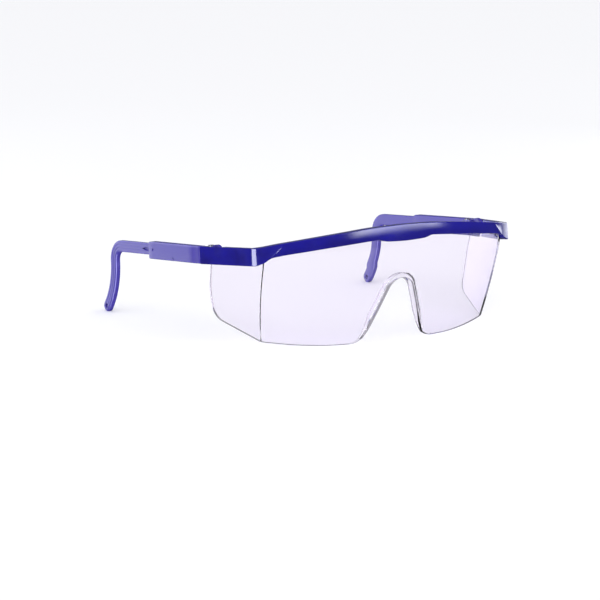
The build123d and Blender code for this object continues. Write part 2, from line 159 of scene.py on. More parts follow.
# ---------------------------------------------------------------- curves ----
def along(points, x):
    """A smooth height over a row of (x, height) points, without overshoot."""
    x = min(max(x, points[0][0]), points[-1][0])
    slopes = [(b[1] - a[1]) / (b[0] - a[0]) for a, b in zip(points, points[1:])]
    tangents = [slopes[0]]
    for before, after in zip(slopes, slopes[1:]):
        tangents.append(0 if before * after <= 0 else 2 * before * after / (before + after))
    tangents.append(slopes[-1])
    i = max(k for k in range(len(slopes)) if points[k][0] <= x)
    (x0, z0), (x1, z1) = points[i], points[i + 1]
    t = (x - x0) / (x1 - x0)
    lift = (2 * t - 3) * t * t
    return (z0 * (1 + lift) - z1 * lift
            + (x1 - x0) * (tangents[i] * t * (1 - t) ** 2 - tangents[i + 1] * t * t * (1 - t)))


def steps(low, high, count):
    """Evenly spaced numbers, both ends included."""
    return [low + (high - low) * i / (count - 1) for i in range(count)]


def round_outline(low, high, radius, arc=4, extra=()):
    """Places round a rectangle with round corners, with more places on its first side."""
    (x0, z0), (x1, z1) = low, high
    centres = [(x0 + radius, z1 - radius, 90), (x0 + radius, z0 + radius, 180),
               (x1 - radius, z0 + radius, 270), (x1 - radius, z1 - radius, 0)]
    places = []
    for x, z, start in centres:
        for turn in steps(start, start + 90, arc + 1):
            angle = math.radians(turn)
            places.append((x + radius * math.cos(angle), z + radius * math.sin(angle)))
        if start == 90:
            places += [(x0, z) for z in extra]
    return places


# ------------------------------------------------------- modelling helpers --
def deselect():
    """Leave edit mode and select nothing."""
    if bpy.context.object and bpy.context.object.mode != "OBJECT":
        bpy.ops.object.mode_set(mode="OBJECT")
    bpy.ops.object.select_all(action="DESELECT")


def focus(piece):
    """Select one piece and make it active."""
    deselect()
    piece.select_set(True)
    bpy.context.view_layer.objects.active = piece


@contextmanager
def editing(piece):
    """Edit mode on one piece, by its faces."""
    focus(piece)
    bpy.ops.object.mode_set(mode="EDIT")
    bpy.ops.mesh.select_mode(type="FACE")
    yield
    bpy.ops.object.mode_set(mode="OBJECT")


def pick(piece, test):
    """Select the faces of the piece in edit mode that pass a test."""
    bpy.ops.mesh.select_all(action="DESELECT")
    mesh = bmesh.from_edit_mesh(piece.data)
    for face in mesh.faces:
        if test(face):
            face.select_set(True)
    mesh.select_flush_mode()
    bmesh.update_edit_mesh(piece.data)


def start(name):
    """Name what was just added."""
    piece = bpy.context.object
    piece.name = piece.data.name = name
    return piece


def loft(name, sections):
    """A disc, shaped to the first section and extruded through the others."""
    deselect()
    bpy.ops.mesh.primitive_circle_add(vertices=len(sections[0]), fill_type="NGON")
    piece = start(name)
    for point, place in zip(piece.data.vertices, sections[0]):
        point.co = place
    with editing(piece):
        bpy.ops.mesh.select_all(action="SELECT")
        for before, after in zip(sections, sections[1:]):
            bpy.ops.mesh.extrude_region_move()
            mesh = bmesh.from_edit_mesh(piece.data)
            top = next(face for face in mesh.faces if face.select)
            spare = list(range(len(before)))
            for point in top.verts:
                nearest = min(spare, key=lambda k: (Vector(before[k]) - point.co).length)
                spare.remove(nearest)
                point.co = after[nearest]
            bmesh.update_edit_mesh(piece.data)
        bpy.ops.mesh.select_all(action="SELECT")
        bpy.ops.mesh.remove_doubles(threshold=1e-4)
        bpy.ops.mesh.normals_make_consistent(inside=False)
    return piece


def finish_with(piece, kind, **settings):
    """Add a modifier and apply it."""
    focus(piece)
    modifier = piece.modifiers.new(kind.title(), kind)
    for name, value in settings.items():
        setattr(modifier, name, value)
    bpy.ops.object.modifier_apply(modifier=modifier.name)


def cut(piece, tool, operation="DIFFERENCE"):
    """Cut a piece with a tool, or weld the tool on, and throw the tool away."""
    finish_with(piece, "BOOLEAN", object=tool, operation=operation, solver="EXACT")
    bpy.data.objects.remove(tool)


def peg(radius, depth, place, turn=LYING, sides=32):
    """A round peg along X, or along Z when upright."""
    deselect()
    bpy.ops.mesh.primitive_cylinder_add(vertices=sides, radius=radius, depth=depth, location=place,
                                        rotation=turn)
    bpy.ops.object.transform_apply(location=True, rotation=True, scale=True)
    return bpy.context.object


def soften(piece, width, angle=40, segments=3):
    """Round the sharp edges."""
    finish_with(piece, "BEVEL", width=width, segments=segments, limit_method="ANGLE",
                angle_limit=math.radians(angle), use_clamp_overlap=True)


def mirror(piece):
    """Add the other half, weld the middle and turn the faces outwards."""
    finish_with(piece, "MIRROR", use_axis=(True, False, False), merge_threshold=WELD)
    with editing(piece):
        bpy.ops.mesh.select_all(action="SELECT")
        bpy.ops.mesh.remove_doubles(threshold=WELD)
        bpy.ops.mesh.normals_make_consistent(inside=False)


def stand(piece, side):
    """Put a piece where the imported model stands, mirrored for the wearer's right."""
    place = (Matrix.Scale(MM, 4) @ Matrix.Translation(STAND) @ Matrix.Rotation(REST_TILT, 4, "X")
             @ Matrix.Diagonal((side, 1, 1, 1)))
    piece.data.transform(place)
    if side < 0:
        piece.data.flip_normals()


def toe_in(piece):
    """Lean a temple piece inwards about the hinge pin."""
    centre = Matrix.Translation(PIN)
    piece.data.transform(centre @ Matrix.Rotation(TOE_IN, 4, "Z") @ centre.inverted())


def shade(piece, angle=32):
    """Smooth shading that keeps the sharp edges."""
    focus(piece)
    bpy.ops.object.shade_smooth_by_angle(angle=math.radians(angle))


def settle(piece, body, material, node, side=1):
    """Stand the piece, give it its finish and tie it to the frame."""
    stand(piece, side)
    shade(piece)
    piece.data.materials.clear()
    piece.data.materials.append(material)
    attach(piece, body)
    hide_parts(node)


def settle_pair(piece, kind):
    """Settle a copy of a temple piece on each side, each with its own mesh."""
    toe_in(piece)
    for name, side in SIDES.items():
        copy = piece.copy()
        copy.data = piece.data.copy()
        copy.name = copy.data.name = f"temple_{kind}_moulding_{name}"
        bpy.context.scene.collection.objects.link(copy)
        settle(copy, f"{kind}_{name}", finish_named("blue_temple"),
               f"temple_{kind}_{name}", side)
    bpy.data.objects.remove(piece)


# --------------------------------------------------------- shader writing ---
class Wire:
    """A socket that can be used in arithmetic."""

    def __init__(self, recipe, socket):
        self.recipe, self.socket = recipe, socket

    def math(self, operation, *others):
        """This value, combined with others."""
        return self.recipe.node("Math", {"operation": operation}, dict(enumerate((self,) + others)))

    def __add__(self, other):
        return self.math("ADD", other)

    def __mul__(self, other):
        return self.math("MULTIPLY", other)

    def __rsub__(self, other):
        return self.recipe.node("Math", {"operation": "SUBTRACT"}, {0: other, 1: self})

    def __abs__(self):
        return self.math("ABSOLUTE")

    __radd__ = __add__
    __rmul__ = __mul__

    def over(self, low, high):
        """0 below low, 1 above high, smooth between."""
        return self.recipe.node("MapRange", {"interpolation_type": "SMOOTHSTEP"},
                                {"Value": self, "From Min": low, "From Max": high})


class Recipe:
    """A material, or the room's light, being written node by node."""

    def __init__(self, owner):
        owner.use_nodes = True
        self.owner, self.tree = owner, owner.node_tree
        self.tree.nodes.clear()

    @cached_property
    def place(self):
        """Places on the piece, from its own origin."""
        return self.node("TexCoord", output="Object")

    def node(self, kind, settings=None, sockets=None, output=0):
        """Any node: its settings first, then the values or links of its sockets."""
        made = self.tree.nodes.new("ShaderNode" + kind)
        for name, value in (settings or {}).items():
            setattr(made, name, value)
        for name, value in (sockets or {}).items():
            if isinstance(value, Wire):
                self.tree.links.new(value.socket, made.inputs[name])
            else:
                made.inputs[name].default_value = value
        return Wire(self, made.outputs[output]) if output is not None else None

    def noise(self, scale, detail=2.0, roughness=0.5, place=None):
        """Soft random patches, from 0 to 1."""
        return self.node("TexNoise", None, {"Vector": place or self.place, "Scale": scale,
                                            "Detail": detail, "Roughness": roughness}, "Fac")

    def stretched(self, scale):
        """Object places, stretched along each axis."""
        return self.node("Mapping", None, {"Vector": self.place, "Scale": scale})

    def blend(self, amount, first, second):
        """A mix of two colours."""
        return self.node("Mix", {"data_type": "RGBA"}, {0: amount, 6: first, 7: second}, 2)

    def bump(self, height, distance, strength):
        """A surface relief, its distance in metres."""
        return self.node("Bump", None, {"Height": height, "Distance": distance, "Strength": strength})

    def show(self, surface, output="OutputMaterial"):
        """Send the surface out and hand the finished material back."""
        self.node(output, None, {"Surface": surface}, None)
        return self.owner


def scratches(recipe, angle, scale, share):
    """Hairline marks from wiping, as a mask: 1 on a mark."""
    turned = recipe.node("Mapping", None, {
        "Vector": recipe.place, "Rotation": (angle, angle * 0.7, angle * 1.3),
        "Scale": (scale, scale * 0.03, scale * 0.4)})
    return recipe.noise(1.0, 3.0, 0.6, turned).over(share, share + 0.03)


def blue_plastic(name, base, deep):
    """Glossy moulded polypropylene, tinted right through."""
    recipe = Recipe(bpy.data.materials.new(name))
    looks = bpy.context.scene.glasses_looks
    flow = recipe.noise(60.0, 3.0, 0.55, recipe.stretched((0.35, 1.0, 1.0)))
    speckle = recipe.noise(2600.0, 2.0)
    marks = scratches(recipe, 0.5, 2600.0, 0.68) + scratches(recipe, 2.1, 3100.0, 0.70)
    fingers = recipe.noise(110.0, 4.0, 0.6).over(0.45, 0.75)
    colour = recipe.blend(flow.over(0.3, 0.7), tuple(deep) + (1,), tuple(base) + (1,))
    roughness = 0.10 + looks.wear * (marks * 0.18 + fingers * 0.12) + speckle * 0.05
    skin = recipe.noise(420.0, 2.0) * 0.8 + speckle * 0.12 + marks * -0.10 * looks.wear
    surface = recipe.node("BsdfPrincipled", None, {
        "Base Color": colour, "Roughness": roughness, "IOR": 1.56,
        "Normal": recipe.bump(skin, 0.000025, 0.55)})
    return recipe.show(surface)


def clear_polycarbonate(name):
    """Optical moulding: clear, with faint wiping marks, letting lamps through."""
    recipe = Recipe(bpy.data.materials.new(name))
    looks = bpy.context.scene.glasses_looks
    marks = scratches(recipe, 0.9, 1700.0, 0.71) + scratches(recipe, 2.6, 2300.0, 0.73)
    smear = recipe.noise(45.0, 4.0, 0.6).over(0.5, 0.8)
    waviness = recipe.noise(38.0, 1.0)
    glass = recipe.node("BsdfPrincipled", None, {
        "Base Color": tuple(looks.lens_tint) + (1,),
        "Roughness": looks.wear * (marks * 0.05 + smear * 0.012), "IOR": 1.58, "Transmission Weight": 1.0,
        "Normal": recipe.bump(waviness, 0.00004, 0.3)})
    clear = recipe.node("BsdfTransparent", None, {"Color": (0.93, 0.92, 0.96, 1)})
    shadow = recipe.node("LightPath", output="Is Shadow Ray")
    return recipe.show(recipe.node("MixShader", None, {0: shadow, 1: glass, 2: clear}))


def turned_steel(name):
    """Small nickelled steel parts with fine turning marks."""
    recipe = Recipe(bpy.data.materials.new(name))
    rings = recipe.noise(9000.0, 2.0, 0.5, recipe.stretched((1.0, 0.15, 0.15)))
    dull = recipe.noise(900.0, 3.0, 0.6)
    steel = tuple(bpy.context.scene.glasses_looks.steel)
    darker = tuple(part * 0.7 for part in steel)
    surface = recipe.node("BsdfPrincipled", None, {
        "Base Color": recipe.blend(dull.over(0.35, 0.7), darker + (1,), steel + (1,)), "Metallic": 1.0,
        "Roughness": 0.22 + rings * 0.16, "Normal": recipe.bump(rings, 0.000012, 0.6)})
    return recipe.show(surface)


def studio_floor(name):
    """Matt pale paper."""
    recipe = Recipe(bpy.data.materials.new(name))
    paper = recipe.noise(240.0, 4.0, 0.6)
    pale = tuple(bpy.context.scene.glasses_studio.floor_colour)
    duller = tuple(part * 0.985 for part in pale)
    surface = recipe.node("BsdfPrincipled", None, {
        "Base Color": recipe.blend(paper, duller + (1,), pale + (1,)), "Roughness": 0.85,
        "Specular IOR Level": 0.2, "Normal": recipe.bump(paper, 0.0001, 0.15)})
    return recipe.show(surface)


def glowing_card(name, glow):
    """A soft-edged glowing card."""
    recipe = Recipe(bpy.data.materials.new(name))
    apart, upright = [recipe.node("SeparateXYZ", None, {"Vector": recipe.place}, side) for side in "XY"]
    fall = (0.5 - abs(apart)).over(0.0, CARD_EDGES[0]) * (0.5 - abs(upright)).over(0.0, CARD_EDGES[1])
    colour = recipe.blend(fall, (0, 0, 0, 1), CARD_COLOUR)
    return recipe.show(recipe.node("Emission", None, {"Color": colour, "Strength": glow}))


def finish_named(name):
    """A finish, made the first time it is asked for."""
    looks = bpy.context.scene.glasses_looks
    makers = {
        "blue_brow": lambda: blue_plastic(name, looks.brow_blue, looks.brow_deep),
        "blue_temple": lambda: blue_plastic(name, looks.temple_blue, looks.temple_deep),
        "blue_hinge": lambda: blue_plastic(name, looks.brow_deep, looks.brow_deep),
        "clear_polycarbonate": lambda: clear_polycarbonate(name),
        "turned_steel": lambda: turned_steel(name),
        "studio_floor": lambda: studio_floor(name),
    }
    return bpy.data.materials.get(name) or makers[name]()


# ---------------------------------------------------------------- settings --
class GlassesSizes(bpy.types.PropertyGroup):
    """Fine sizes that the maker may change."""
    brow_edge: FloatProperty(
        name="Brow edge", description="Rounding along the bar's edges",
        default=0.3 * MM, min=0.1 * MM, max=1.2 * MM, subtype="DISTANCE", precision=5)
    sleeve_lip: FloatProperty(
        name="Sleeve lip", description="Rounding of the sleeve's mouth",
        default=0.4 * MM, min=0.1 * MM, max=0.8 * MM, subtype="DISTANCE", precision=5)
    slider_edge: FloatProperty(
        name="Slider edge", description="Rounding along the slider",
        default=0.55 * MM, min=0.1 * MM, max=1.0 * MM, subtype="DISTANCE", precision=5)
    rib_height: FloatProperty(
        name="Rib height", description="Height of the fine ribs along the slider",
        default=0.09 * MM, min=0.0, max=0.1 * MM, subtype="DISTANCE", precision=5)
    lens_edge: FloatProperty(
        name="Lens edge", description="Rounding of the lens's edges and corners",
        default=0.35 * MM, min=0.05 * MM, max=0.4 * MM, subtype="DISTANCE", precision=5)


class GlassesLooks(bpy.types.PropertyGroup):
    """Colours and wear."""
    brow_blue: FloatVectorProperty(
        name="Brow blue", description="Blue of the brow frame",
        default=(0.006, 0.004, 0.26), min=0, max=1, subtype="COLOR")
    brow_deep: FloatVectorProperty(
        name="Brow deep", description="Deeper blue where the plastic is thick",
        default=(0.005, 0.002, 0.15), min=0, max=1, subtype="COLOR")
    temple_blue: FloatVectorProperty(
        name="Temple blue", description="Blue of the temples",
        default=(0.016, 0.012, 0.34), min=0, max=1, subtype="COLOR")
    temple_deep: FloatVectorProperty(
        name="Temple deep", description="Deeper blue of the temples",
        default=(0.012, 0.008, 0.24), min=0, max=1, subtype="COLOR")
    lens_tint: FloatVectorProperty(
        name="Lens tint", description="Tint of the clear moulding",
        default=(0.935, 0.895, 0.985), min=0, max=1, subtype="COLOR")
    steel: FloatVectorProperty(
        name="Steel", description="Colour of the pins and screws",
        default=(0.17, 0.17, 0.19), min=0, max=1, subtype="COLOR")
    wear: FloatProperty(
        name="Wear", description="Amount of wiping marks", default=0.6, min=0, max=1, subtype="FACTOR")


class GlassesStudio(bpy.types.PropertyGroup):
    """Floor, lamps and camera."""
    floor_colour: FloatVectorProperty(
        name="Floor colour", description="Colour of the floor",
        default=(0.90, 0.90, 0.91), min=0, max=1, subtype="COLOR")
    reflectors: FloatProperty(
        name="Reflectors", description="Brightness of the cards seen in the gloss", default=1.0, min=0, max=5)
    sky: FloatProperty(
        name="Sky", description="Brightness of the white surroundings", default=0.8, min=0, max=3)
    overhead: FloatProperty(
        name="Overhead lamp", description="Strength of the wide overhead lamp", default=1.1, min=0, max=10)
    key: FloatProperty(
        name="Key lamp", description="Power of the large lamp", default=0.5, min=0, max=100, unit="POWER")
    camera_lens: FloatProperty(
        name="Camera lens", description="Focal length", default=210.44, min=20, max=400, unit="CAMERA")


# ------------------------------------------------------------- lens places --
def level_at(z):
    """Radius, front y and corner x of the lens's plan curve at a height."""
    (za, *a), (zb, *b), (zc, *c) = LENS_LEVELS
    if z > za - LENS_FOLD:
        z = za if z > za + LENS_FOLD else za - (za + LENS_FOLD - z) ** 2 / (4 * LENS_FOLD)
    wa = (z - zb) * (z - zc) / ((za - zb) * (za - zc))
    wb = (z - za) * (z - zc) / ((zb - za) * (zb - zc))
    wc = (z - za) * (z - zb) / ((zc - za) * (zc - zb))
    return [wa * i + wb * j + wc * k for i, j, k in zip(a, b, c)]


def lens_corner(z):
    """Radius and middle of the front's arc, and the corner where the shield starts, at a height."""
    radius, front_y, corner_x = level_at(z)
    middle_y = front_y + radius
    corner = Vector((corner_x, middle_y - math.sqrt(radius ** 2 - corner_x ** 2)))
    return radius, middle_y, corner


def lens_point(share, z):
    """The lens's outer face: share 0 to 1 is the front, 1 to 2 the shield."""
    radius, middle_y, corner = lens_corner(z)
    if share <= 1:
        angle = share * math.asin(corner.x / radius)
        return Vector((radius * math.sin(angle), middle_y - radius * math.cos(angle), z))
    run = (share - 1) * (along(SHIELD_REAR, z) - corner.y)
    return Vector((corner.x + run * math.tan(SHIELD_SPLAY), corner.y + run, z))


def foot_line(y):
    """Height of the shield's slanted foot."""
    share = (y - SHIELD_FOOT.x) / (SHIELD_CORNER.x - SHIELD_FOOT.x)
    return SHIELD_FOOT.y + share * (SHIELD_CORNER.y - SHIELD_FOOT.y)


def shield_round():
    """The shield's round lower corner: where it begins, its centre and where it ends."""
    foot = (SHIELD_CORNER - SHIELD_FOOT).normalized()
    (low_z, low_y), (high_z, high_y) = SHIELD_REAR[1], SHIELD_REAR[2]
    rear = Vector((high_y - low_y, high_z - low_z)).normalized()
    half = math.acos((-foot).dot(rear)) / 2
    begin = SHIELD_CORNER - foot * SHIELD_ROUND / math.tan(half)
    centre = begin + Vector((-foot.y, foot.x)) * SHIELD_ROUND
    return begin, centre, math.pi / 2 - math.atan2(rear.x, rear.y)


def lens_low(place):
    """Height of the lens's lower edge under a place on it."""
    x, y = place.x, place.y
    if x < NOSE_LEG_LOW.x:
        high_x, high_z = NOSE_LEG_HIGH
        if x > high_x:
            return high_z + (x - high_x) * (NOSE_LEG_LOW.y - high_z) / (NOSE_LEG_LOW.x - high_x)
        return NOSE_APEX_Z - NOSE_RADIUS + math.sqrt(NOSE_RADIUS ** 2 - x ** 2)
    if y < SHIELD_FOOT.x and x < LOBE_EDGE[-1][0]:
        return along(LOBE_EDGE, x)
    begin, centre, _ = shield_round()
    if y <= begin.x:
        return foot_line(max(y, SHIELD_FOOT.x))
    return centre.y - math.sqrt(max(SHIELD_ROUND ** 2 - (y - centre.x) ** 2, 0))


def lens_high(place):
    """Height of the lens's upper edge over a place on it."""
    rows = BRIDGE_LOW if place.x < BRIDGE_LOW[-1][0] else BAR_LOW
    under_bar = along(rows, place.x) + LENS_LIP
    return under_bar if place.y < SHIELD_STEP_Y else SHIELD_STEP_Z


def lens_columns():
    """Columns of the lens's half, each as the shares of its foot and head."""
    columns = [(share, share) for share in steps(0, NOSE_SHARE, 21) + steps(NOSE_SHARE, 1, 45)[1:]]
    begin, centre, last_turn = shield_round()
    first_y = lens_corner(SHIELD_FOOT.y)[2].y + SHIELD_FIRST
    feet = [(y, foot_line(y)) for y in steps(first_y, begin.x, 12)]
    first_turn = math.atan2(begin.x - centre.x, centre.y - begin.y)
    feet += [(centre.x + SHIELD_ROUND * math.sin(turn), centre.y - SHIELD_ROUND * math.cos(turn))
             for turn in steps(first_turn, last_turn, 11)[1:]]
    for i, (y, z) in enumerate(feet):
        corner_y = lens_corner(z)[2].y
        foot = 1 + (y - corner_y) / (along(SHIELD_REAR, z) - corner_y)
        columns.append((foot, 1 + (i + 1) / len(feet)))
    return columns


def lens_column(foot, head, rows, margin):
    """Places of one column, from the lower edge to the upper."""
    low, high = LENS_LOWEST, SHIELD_STEP_Z - FOLD_ROOM
    for _ in range(40):
        middle = (low + high) / 2
        if middle < lens_low(lens_point(foot, middle)):
            low = middle
        else:
            high = middle
    top = LENS_LEVELS[0][0]
    upper = lens_high(lens_point(head, top)) + margin
    fold = min(top - LENS_FOLD - FOLD_ROOM, upper - LIP_ROOM)
    heights = steps(low, fold, rows - FOLD_ROWS + 1) + steps(fold, upper, FOLD_ROWS)[1:]
    return [lens_point(foot + (head - foot) * (z - low) / (upper - low), z) for z in heights]


def lens_wall(name, margin, rows):
    """The bent clear wall, or a thicker one that cuts its groove."""
    columns = [lens_column(foot, head, rows, margin) for foot, head in lens_columns()]
    across, up = len(columns) - 1, rows - 1
    deselect()
    bpy.ops.mesh.primitive_grid_add(x_subdivisions=across, y_subdivisions=up, size=2)
    piece = start(name)
    for point in piece.data.vertices:
        column = columns[round((point.co.x + 1) / 2 * across)]
        point.co = column[round((point.co.y + 1) / 2 * up)]
    mirror(piece)
    on_front = lens_point(0.3, -15.0)
    nearest = min(piece.data.polygons, key=lambda face: (face.center - on_front).length)
    if nearest.normal.y > 0:
        piece.data.flip_normals()
    wall = LENS_WALL + 2 * margin
    finish_with(piece, "SOLIDIFY", thickness=wall, offset=2 * margin / wall - 1, use_even_offset=True)
    return piece


# ------------------------------------------------------ brow frame places --
def crowned(x):
    """Share of the crown at a distance from the middle: all on the bar, none on the end sections."""
    return max(0.0, min(1.0, (CREASE_TOP_X + CROWN_END - x) / CROWN_FADE))


def bar_front(x):
    """The bar's front face in plan."""
    return Vector((x, BAR_FRONT_Y + BAR_RADIUS - math.sqrt(BAR_RADIUS ** 2 - x ** 2)))


def crease_height(x, high, low):
    """Height of the slanted crease at a distance from the middle."""
    share = (x - CREASE_TOP_X) / (CREASE_LOW_X - CREASE_TOP_X)
    return high - share * (high - low)


def crease_depth(x, z):
    """How far the facet behind the slanted crease sinks."""
    high, low = along(BAR_TOP, CREASE_TOP_X), along(BAR_LOW, CREASE_LOW_X)
    line_x = CREASE_TOP_X + (high - z) / (high - low) * (CREASE_LOW_X - CREASE_TOP_X)
    if x <= line_x:
        return 0.0
    past = x - CORNER_X - CREASE_END
    if past < 0:
        return CREASE_CUT * min((x - line_x) / (CORNER_X - line_x), 1.0)
    return CREASE_CUT * max(0.0, 1 - past / CREASE_FADE)


# -------------------------------------------------------------- operators ---
class GLASSES_OT_brow_frame(bpy.types.Operator):
    """Model the brow frame: curved bar, flared corners and end sections"""
    bl_idname = "glasses.brow_frame"
    bl_label = "Brow Frame"

    def half_sections(self, edge):
        """Sections of the wearer's left half, from the middle to the end."""
        splay = math.atan2(BUTT.x - CORNER_X, BUTT.y - bar_front(CORNER_X).y)
        down_wall = Vector((math.sin(splay), math.cos(splay)))
        corner = bar_front(CORNER_X)
        turn_start = math.asin(CORNER_X / BAR_RADIUS)
        half_turn = (math.pi / 2 - splay - turn_start) / 2
        reach = CORNER_ROUND * math.tan(half_turn)
        last = math.asin((CORNER_X - reach * math.cos(turn_start)) / BAR_RADIUS)
        inner_x = CORNER_X - END_WALL / math.cos(splay) + BAR_DEPTH * math.tan(splay)
        inner_y = bar_front(inner_x).y + BAR_DEPTH
        inner = Vector((inner_x + (inner_y - corner.y - BAR_DEPTH) * math.tan(splay), inner_y))
        middle = Vector((0, BAR_FRONT_Y + BAR_RADIUS))
        rails = []
        for angle in steps(0, last, 56):
            outward = Vector((math.sin(angle), -math.cos(angle)))
            rails.append((middle + outward * BAR_RADIUS, middle + outward * (BAR_RADIUS - BAR_DEPTH)))
        face = Vector((math.sin(last), -math.cos(last)))
        centre = rails[-1][0] - face * CORNER_ROUND
        for angle in steps(last, math.pi / 2 - splay, 10)[1:]:
            rails.append((centre + Vector((math.sin(angle), -math.cos(angle))) * CORNER_ROUND, inner))
        turned = rails[-1][0]
        for y in steps(turned.y, inner.y, 3)[1:]:
            rails.append((turned + down_wall * ((y - turned.y) / down_wall.y), inner))
        seat = [SEAT_START_Y + SEAT_SLOPE] + steps(SEAT_START_Y, BUTT.y, 8)[1:]
        for y in steps(inner.y, SEAT_START_Y, 8)[1:] + seat:
            outer = turned + down_wall * ((y - turned.y) / down_wall.y)
            inside = inner + down_wall * ((y - inner.y) / down_wall.y)
            if y > SEAT_START_Y:
                inside = Vector((max(inside.x, SEAT_X), y))
            rails.append((outer, inside))
        outer, inside = rails.pop()
        back = Vector((0, BUTT_ROUND[-1][1]))
        sections = [self.section(*rail, edge) for rail in rails + [(outer - back, inside - back)]]
        for before, shrink in BUTT_ROUND:
            sections.append(self.section(outer - Vector((0, before)), inside, edge, shrink))
        return sections

    def section(self, outer, inner, edge, shrink=0.0):
        """One round-edged section of the frame between its outer and inner place."""
        x = outer.x
        high = along(BAR_TOP, x)
        low = along(BRIDGE_LOW, x) if x < BRIDGE_LOW[-1][0] else along(BAR_LOW, x)
        across = inner - outer
        width = across.length
        across.normalize()
        limit = min(edge, (high - low) / 2 - 0.2, width / 2 - 0.1)
        crease = crease_height(x, high, low)
        low_in, high_in = low + limit + 0.01, high - limit - 0.01
        extra = [min(max(crease + step, low_in), high_in) for step in (BEAD_SIDE, 0.0, -BEAD_SIDE)]
        places = []
        inset_low, inset_high = (shrink, low + shrink), (width - shrink, high - shrink)
        for depth, z in round_outline(inset_low, inset_high, limit, 4, extra):
            fade = 1 - min(max(depth / FACE_FADE, 0), 1)
            crown = BAR_CROWN * crowned(x) * ((z - low) / (high - low)) ** 2
            depth += (crease_depth(x, z) + crown) * fade
            if z == crease:
                depth -= CREASE_BEAD
            place = outer + across * depth
            places.append(Vector((place.x, place.y, z)))
        return places

    def execute(self, context):
        edge = context.scene.glasses_sizes.brow_edge / MM
        piece = loft("brow_frame_moulding", self.half_sections(edge))
        with editing(piece):
            pick(piece, lambda face: all(abs(point.co.x) < WELD / 10 for point in face.verts))
            bpy.ops.mesh.delete(type="FACE")
        mirror(piece)
        cut(piece, lens_wall("lens_groove", GROOVE_GAP, GROOVE_ROWS))
        settle(piece, "frame", finish_named("blue_brow"), "brow_frame")
        return {"FINISHED"}


class GLASSES_OT_lens(bpy.types.Operator):
    """Model the clear lens with its side shields and nose bridge"""
    bl_idname = "glasses.lens"
    bl_label = "Clear Lens"

    def nose_rim(self):
        """The thick rim round the nose arch, as sections along it."""
        crown = Vector((0, NOSE_APEX_Z - NOSE_RADIUS))
        path = []
        for angle in steps(0, math.asin(NOSE_LEG_HIGH.x / NOSE_RADIUS), 12):
            path.append((crown + Vector((math.sin(angle), math.cos(angle))) * NOSE_RADIUS, 1.0))
        fade_from, fade_by = NOSE_LEG_FADE
        for share in steps(0, 1, 22)[1:]:
            fade = 1.0 - fade_by * max(0, share - fade_from) / (1 - fade_from)
            path.append((NOSE_LEG_HIGH.lerp(NOSE_LEG_LOW, share), fade))
        for x, fade in NOSE_FOOT:
            path.append((Vector((x, along(LOBE_EDGE, x))), fade))
        path = [(Vector((-place.x, place.y)), fade) for place, fade in reversed(path[1:])] + path
        sections = []
        for i, (place, fade) in enumerate(path):
            before, after = path[max(i - 1, 0)][0], path[min(i + 1, len(path) - 1)][0]
            run = (after - before).normalized()
            into = Vector((-run.y, run.x))
            section = []
            for rim, depth in round_outline(NOSE_PROUD, (NOSE_RIM * fade, NOSE_DEPTH * fade), NOSE_ROUND, 3):
                x, z = place + into * rim
                radius, front_y, _ = level_at(z)
                y = front_y + radius - math.sqrt(radius ** 2 - x ** 2)
                section.append(Vector((x, y + depth, z)))
            sections.append(section)
        return sections

    def execute(self, context):
        piece = lens_wall("lens_moulding", 0.0, LENS_ROWS)
        soften(piece, context.scene.glasses_sizes.lens_edge / MM)
        cut(piece, loft("nose_rim", self.nose_rim()), "UNION")
        settle(piece, "frame", finish_named("clear_polycarbonate"), "lens")
        return {"FINISHED"}


